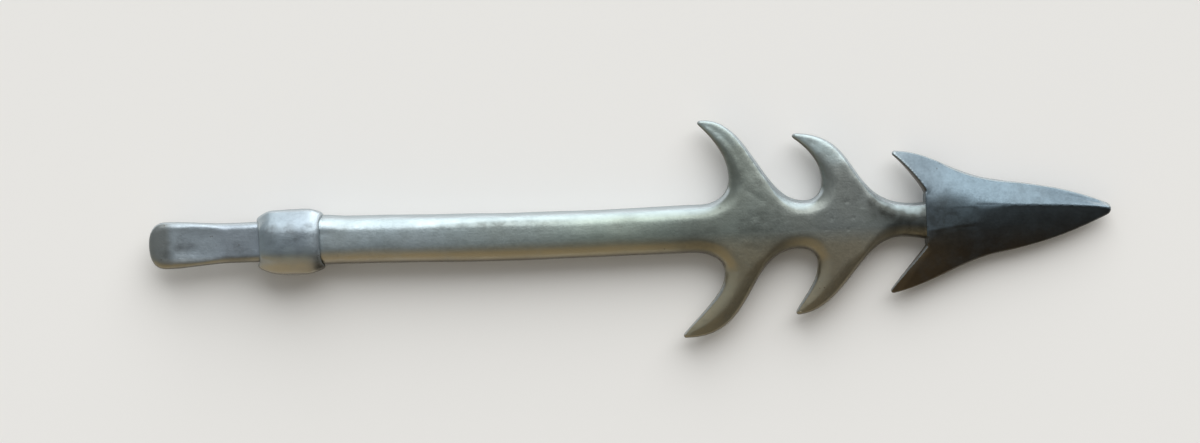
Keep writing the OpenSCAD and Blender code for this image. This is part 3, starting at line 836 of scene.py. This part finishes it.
TANG_LOOK = dict(
    # Its colours darken to the end: painted shade on the end, which faces away from the lamp
    skin=[(-18.2, (0.175, 0.19, 0.185)), (-15.5, (0.19, 0.21, 0.21)), (-13.8, (0.30, 0.35, 0.385)),
          (-8, (0.31, 0.365, 0.41)), (-5, (0.29, 0.34, 0.39)), (0, (0.28, 0.33, 0.375))],
    # Painted shade and a painted warm reflection on the lower side
    low=([(-18, (0.30, 0.275, 0.205)), (0, (0.30, 0.275, 0.205))],
         [(-18, (0.30, 0.265, 0.185)), (0, (0.30, 0.265, 0.185))]),
    low_spread=(-1.4, -4.0, 0.0, 0.8),
    low_facing=SHADE_FACING,
    patina=0.08,
    painted_sheen=0.0,
    grain=0.6,
    dirt_and_shade_marks=[
        # Painted shade in the dish, and towards the collar
        (-15.3, -1.8, 1.8, 0.3),
        (-12.2, -0.4, 2.2, 0.3),
        (-3.2, -1.6, 3.0, 0.3)])


# Floor, light and camera

# The head lies on the collar's rear part and the point's keel (x, z), so the floor leans with it
REST_BACK, REST_FRONT = (5.5, -4.6), (121.0, -3.05)
FLOOR_REACH = 6000.0
FLOOR_COLOUR, FLOOR_ROUGHNESS = (0.80, 0.79, 0.77), 0.9
# The lamp's strength, and in degrees how wide it looks, how high it stands and where, with +Y at 90
LAMP_STRENGTH, LAMP_WIDTH, LAMP_ELEVATION, LAMP_AZIMUTH = 3.0, 70, 36, 76
# Brightness of the surroundings from the far lower side (0) over the zenith (0.5) to the lamp's side (1)
WORLD = [(0.0, (0.13, 0.12, 0.11)), (0.12, (0.12, 0.115, 0.11)), (0.24, (0.14, 0.14, 0.14)),
         (0.34, (0.20, 0.20, 0.20)), (0.44, (0.33, 0.33, 0.33)), (0.52, (0.40, 0.41, 0.42)),
         (0.75, (0.52, 0.55, 0.57)), (1.0, (0.85, 0.88, 0.90))]
WORLD_TURN = 30
# A warm pale patch low on the near left, as far round as these shares of facing it
PATCH, PATCH_TOWARDS, PATCH_EDGE = (0.62, 0.53, 0.38), (-0.50, -0.84, 0.20), (0.55, 0.95)
# The photograph's middle and width, how far it is turned in degrees, and the camera's height above it
VIEW_MIDDLE, VIEW_WIDTH, VIEW_TURN, VIEW_HEIGHT = (57.0, 1.2), 199.8, -2.45, 620.0
SENSOR_WIDTH = 36.0
# How near and how far the camera sees, in metres
CLIP = (0.05, 20)


def floor():
    """A pale plane that the head rests on."""
    slope = (REST_FRONT[1] - REST_BACK[1]) / (REST_FRONT[0] - REST_BACK[0])
    reach = FLOOR_REACH * MM
    back, front = [((x - REST_BACK[0]) * slope + REST_BACK[1]) * MM for x in (-FLOOR_REACH, FLOOR_REACH)]
    mesh = bpy.data.meshes.new("floor")
    mesh.from_pydata([(-reach, -reach, back), (reach, -reach, front),
                      (reach, reach, front), (-reach, reach, back)], [], [(0, 1, 2, 3)])
    plane = bpy.data.objects.new("floor", mesh)
    bpy.context.scene.collection.objects.link(plane)
    material = bpy.data.materials.new("pale_floor")
    material.use_nodes = True
    shader = material.node_tree.nodes["Principled BSDF"]
    shader.inputs["Base Color"].default_value = (*FLOOR_COLOUR, 1)
    shader.inputs["Roughness"].default_value = FLOOR_ROUGHNESS
    mesh.materials.append(material)


def lamp():
    """One wide, soft lamp on the side of the upper barbs."""
    light = bpy.data.lights.new("key", "SUN")
    light.energy = LAMP_STRENGTH
    light.angle = math.radians(LAMP_WIDTH)
    placed = bpy.data.objects.new("key", light)
    up, round_to = math.radians(LAMP_ELEVATION), math.radians(LAMP_AZIMUTH)
    towards = Vector((math.cos(up) * math.cos(round_to), math.cos(up) * math.sin(round_to), math.sin(up)))
    placed.rotation_euler = towards.to_track_quat("Z", "Y").to_euler()
    bpy.context.scene.collection.objects.link(placed)


def studio():
    """Soft surroundings: a pale wall and ceiling on the lamp's side, dimmer on the other."""
    world = bpy.data.worlds.new("studio")
    world.use_nodes = True
    m = Nodes(world.node_tree)
    direction = m.new("TexCoord").outputs["Generated"]
    turn = math.radians(WORLD_TURN)
    lamp_side = m.towards(direction, (-math.sin(turn), math.cos(turn), 0))
    walls = m.bands(m.ramp(lamp_side, -1.0, 1.0, kind="LINEAR"), WORLD, "B_SPLINE")
    patch = m.ramp(m.towards(direction, PATCH_TOWARDS), *PATCH_EDGE)
    m.put(m.mix(patch, walls, PATCH), m.tree.nodes["Background"].inputs["Color"])
    bpy.context.scene.world = world


def camera():
    """Straight above the broad face, as the photograph was taken."""
    data = bpy.data.cameras.new("camera")
    data.sensor_width = SENSOR_WIDTH
    data.lens = SENSOR_WIDTH * VIEW_HEIGHT / VIEW_WIDTH
    data.clip_start, data.clip_end = CLIP
    made = bpy.data.objects.new("camera", data)
    made.location = (VIEW_MIDDLE[0] * MM, VIEW_MIDDLE[1] * MM, VIEW_HEIGHT * MM)
    made.rotation_euler = (0, 0, math.radians(VIEW_TURN))
    bpy.context.scene.collection.objects.link(made)
    bpy.context.scene.camera = made


# The model

shank = forged("barbed_shank", shank_relief, shank_soft, shank_shape,
               voxel=0.22, smooth_rounds=20, ease_rounds=64)
point = forged("point", point_relief, point_soft,
               voxel=0.13, smooth_rounds=40, ease_rounds=200)
collar = forged("collar", collar_relief, collar_soft, collar_shape,
                voxel=0.17, smooth_rounds=30, ease_rounds=140)
tang = forged("tang", tang_relief, tang_soft,
              voxel=0.18, smooth_rounds=30, ease_rounds=10)
dress(shank, iron("iron_shank", **SHANK_LOOK))
dress(point, iron("iron_point", **POINT_LOOK))
dress(collar, iron("iron_collar", **COLLAR_LOOK))
dress(tang, iron("iron_tang", **TANG_LOOK))

floor()
lamp()
studio()
camera()
bpy.context.scene.view_settings.view_transform = "Standard"
